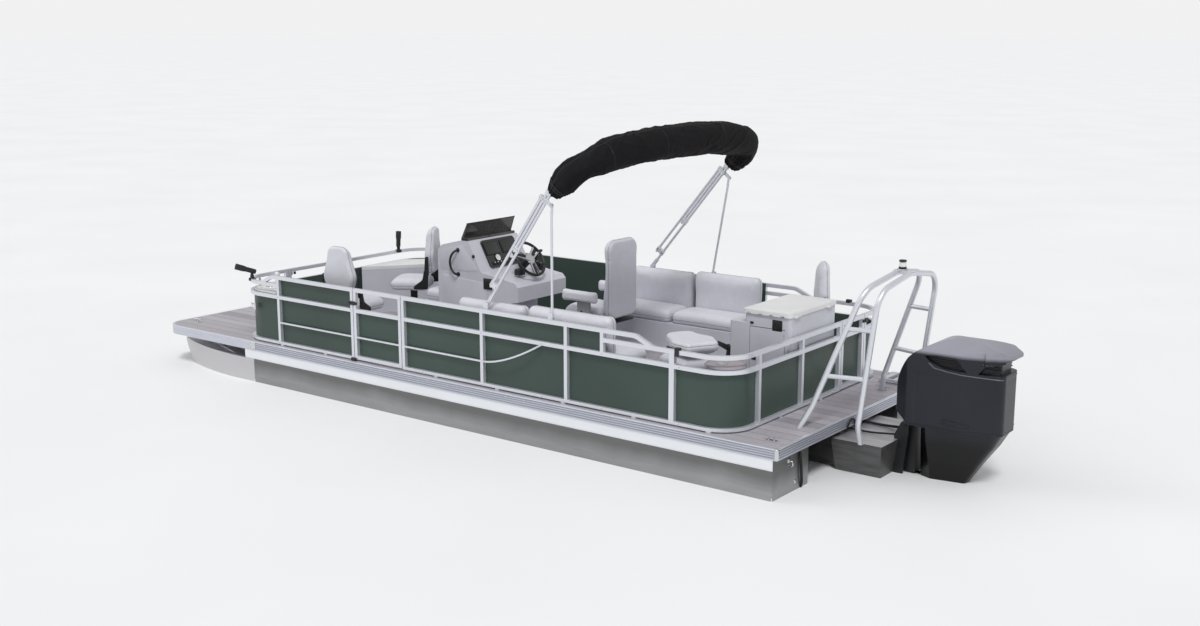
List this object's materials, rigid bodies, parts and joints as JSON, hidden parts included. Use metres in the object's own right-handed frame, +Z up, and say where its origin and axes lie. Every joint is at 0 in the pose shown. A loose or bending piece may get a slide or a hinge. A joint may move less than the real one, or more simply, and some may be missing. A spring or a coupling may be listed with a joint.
{
  "type": "pontoon_boat",
  "caption": "Pontoon boat with aluminium tubes, railed deck with gates, helm, lounge and fishing seats, folded bimini, tow arch and tilting outboard motor",
  "frame": {"origin": "on the waterline, on the centreline, half way along the deck's length", "axes": "+X forward to the bow, +Y to port, +Z up; the deck is level and its top is 0.40 m above the origin"},
  "size_m": [8.403, 2.638, 3.2703],
  "materials": {
    "fence_panels": "gloss",
    "bare_aluminium": "satin",
    "deck_vinyl": "matte",
    "seat_vinyl": "satin",
    "moulded_grey": "satin",
    "dark_trim": "matte",
    "canvas": "matte",
    "motor_paint": "satin",
    "tint": "gloss"
  },
  "bodies": {
    "hull": {"aft_console": "moulded_grey", "bow_locker": "moulded_grey", "chair_pedestals": "dark_trim", "chine_strips": "bare_aluminium", "cross_channels": "bare_aluminium", "deck": "deck_vinyl", "fence_bow": "bare_aluminium", "fence_panels": "fence_panels", "fence_port": "bare_aluminium", "fence_starboard": "bare_aluminium", "gate_hinges": "dark_trim", "helm_console": "moulded_grey", "helm_dash": "dark_trim", "lounge_backs": "seat_vinyl", "lounge_bases": "moulded_grey", "lounge_seats": "seat_vinyl", "motor_bracket": "motor_paint", "motor_pod": "bare_aluminium", "rub_rails": "bare_aluminium", "tow_arch": "bare_aluminium", "tube_centre": "bare_aluminium", "tube_port": "bare_aluminium", "tube_starboard": "bare_aluminium", "windscreen": "tint"},
    "gate_port": {"gate_port_frame": "bare_aluminium", "gate_port_panel": "fence_panels"},
    "gate_bow": {"gate_bow_frame": "bare_aluminium", "gate_bow_panel": "fence_panels"},
    "gate_stern": {"gate_stern_frame": "bare_aluminium", "gate_stern_panel": "fence_panels"},
    "ladder": {"boarding_ladder": "bare_aluminium"},
    "motor_mount": {"motor_swivel": "motor_paint"},
    "motor": {"motor_leg": "motor_paint", "motor_cowl": "motor_paint", "motor_block": "dark_trim"},
    "prop": {"propeller": "dark_trim"},
    "wheel": {"steering_wheel": "dark_trim"},
    "console_lid": {"aft_console_lid": "moulded_grey"},
    "console_door": {"aft_console_door": "moulded_grey"},
    "locker_lid": {"bow_locker_lid": "moulded_grey"},
    "bimini": {"bimini_legs": "bare_aluminium", "bimini_boot": "canvas"},
    "braces": {"bimini_braces": "bare_aluminium"},
    "helm_chair": {"helm_chair_seat": "seat_vinyl", "helm_chair_back": "seat_vinyl", "helm_chair_arms": "seat_vinyl"},
    "bow_port_seat": {"bow_port_chair_seat": "seat_vinyl"},
    "bow_port_back": {"bow_port_chair_back": "seat_vinyl"},
    "bow_starboard_seat": {"bow_starboard_chair_seat": "seat_vinyl"},
    "bow_starboard_back": {"bow_starboard_chair_back": "seat_vinyl"},
    "aft_port_seat": {"aft_port_chair_seat": "seat_vinyl"},
    "aft_port_back": {"aft_port_chair_back": "seat_vinyl"},
    "aft_starboard_seat": {"aft_starboard_chair_seat": "seat_vinyl"},
    "aft_starboard_back": {"aft_starboard_chair_back": "seat_vinyl"}
  },
  "joints": [
    {"name": "gate_port_swing", "type": "hinge", "parent": "hull", "child": "gate_port", "pos_m": [0.826, 1.202, 0.7], "axis": [0, 0, 1], "range_deg": [0, 90]},
    {"name": "gate_bow_swing", "type": "hinge", "parent": "hull", "child": "gate_bow", "pos_m": [2.397, 0.044, 0.7], "axis": [0, 0, 1], "range_deg": [0, 90]},
    {"name": "gate_stern_swing", "type": "hinge", "parent": "hull", "child": "gate_stern", "pos_m": [-3.133, -0.424, 0.7], "axis": [0, 0, 1], "range_deg": [0, 90]},
    {"name": "ladder_fold", "type": "hinge", "parent": "hull", "child": "ladder", "pos_m": [-3.61, -1.055, 0.424], "axis": [0, -1, 0], "range_deg": [0, 265]},
    {"name": "motor_tilt", "type": "hinge", "parent": "hull", "child": "motor_mount", "pos_m": [-4.01, 0, 0.38], "axis": [0, 1, 0], "range_deg": [0, 62]},
    {"name": "motor_steer", "type": "hinge", "parent": "motor_mount", "child": "motor", "pos_m": [-4.05, 0, 0.2], "axis": [0, 0, 1], "range_deg": [-30, 30]},
    {"name": "prop_spin", "type": "hinge", "parent": "motor", "child": "prop", "pos_m": [-4.49, 0, -0.48], "axis": [1, 0, 0], "continuous": true},
    {"name": "wheel_turn", "type": "hinge", "parent": "hull", "child": "wheel", "pos_m": [0.12, -0.38, 1.19], "axis": [-0.8192, 0, 0.5736], "range_deg": [-450, 450]},
    {"name": "console_lid_lift", "type": "hinge", "parent": "hull", "child": "console_lid", "pos_m": [-3.145, 0, 1.14], "axis": [0, -1, 0], "range_deg": [0, 95]},
    {"name": "console_door_swing", "type": "hinge", "parent": "hull", "child": "console_door", "pos_m": [-3.083, 0.352, 0.775], "axis": [0, 0, 1], "range_deg": [0, 90]},
    {"name": "locker_lid_lift", "type": "hinge", "parent": "hull", "child": "locker_lid", "pos_m": [2.367, -0.64, 0.86], "axis": [0, 1, 0], "range_deg": [0, 75]},
    {"name": "bimini_fold", "type": "hinge", "parent": "hull", "child": "bimini", "pos_m": [-0.74, 0, 1.1], "axis": [0, -1, 0], "range_deg": [0, 22]},
    {"name": "brace_fold", "type": "hinge", "parent": "hull", "child": "braces", "pos_m": [-1.43, 0, 1.1], "axis": [0, -1, 0], "range_deg": [0, 72.6]},
    {"name": "bow_port_swivel", "type": "hinge", "parent": "hull", "child": "bow_port_seat", "pos_m": [1.26, 0.8, 0.74], "axis": [0, 0, 1], "continuous": true},
    {"name": "bow_port_back_fold", "type": "hinge", "parent": "bow_port_seat", "child": "bow_port_back", "pos_m": [1.24344, 0.98928, 0.94], "axis": [0.9962, 0.0872, 0], "range_deg": [0, 90]},
    {"name": "bow_starboard_swivel", "type": "hinge", "parent": "hull", "child": "bow_starboard_seat", "pos_m": [1.63, -0.33, 0.74], "axis": [0, 0, 1], "continuous": true},
    {"name": "bow_starboard_back_fold", "type": "hinge", "parent": "bow_starboard_seat", "child": "bow_starboard_back", "pos_m": [1.46546, -0.425, 0.94], "axis": [-0.5, 0.866, 0], "range_deg": [0, 90]},
    {"name": "aft_port_swivel", "type": "hinge", "parent": "hull", "child": "aft_port_seat", "pos_m": [-2.54, 0.85, 0.74], "axis": [0, 0, 1], "continuous": true},
    {"name": "aft_port_back_fold", "type": "hinge", "parent": "aft_port_seat", "child": "aft_port_back", "pos_m": [-2.70454, 0.945, 0.94], "axis": [0.5, 0.866, 0], "range_deg": [-90, 0]},
    {"name": "aft_starboard_swivel", "type": "hinge", "parent": "hull", "child": "aft_starboard_seat", "pos_m": [-2.552, -0.794, 0.74], "axis": [0, 0, 1], "continuous": true},
    {"name": "aft_starboard_back_fold", "type": "hinge", "parent": "aft_starboard_seat", "child": "aft_starboard_back", "pos_m": [-2.70374, -0.90834, 0.94], "axis": [-0.6018, 0.7986, 0], "range_deg": [0, 90]},
    {"name": "helm_swivel", "type": "hinge", "parent": "hull", "child": "helm_chair", "pos_m": [-0.78, -0.262, 0.74], "axis": [0, 0, 1], "continuous": true}
  ],
  "couplings": [
    {"joint": "wheel_turn", "follows": "motor_steer", "ratio": 15},
    {"joint": "brace_fold", "follows": "bimini_fold", "ratio": 3.3}
  ]
}
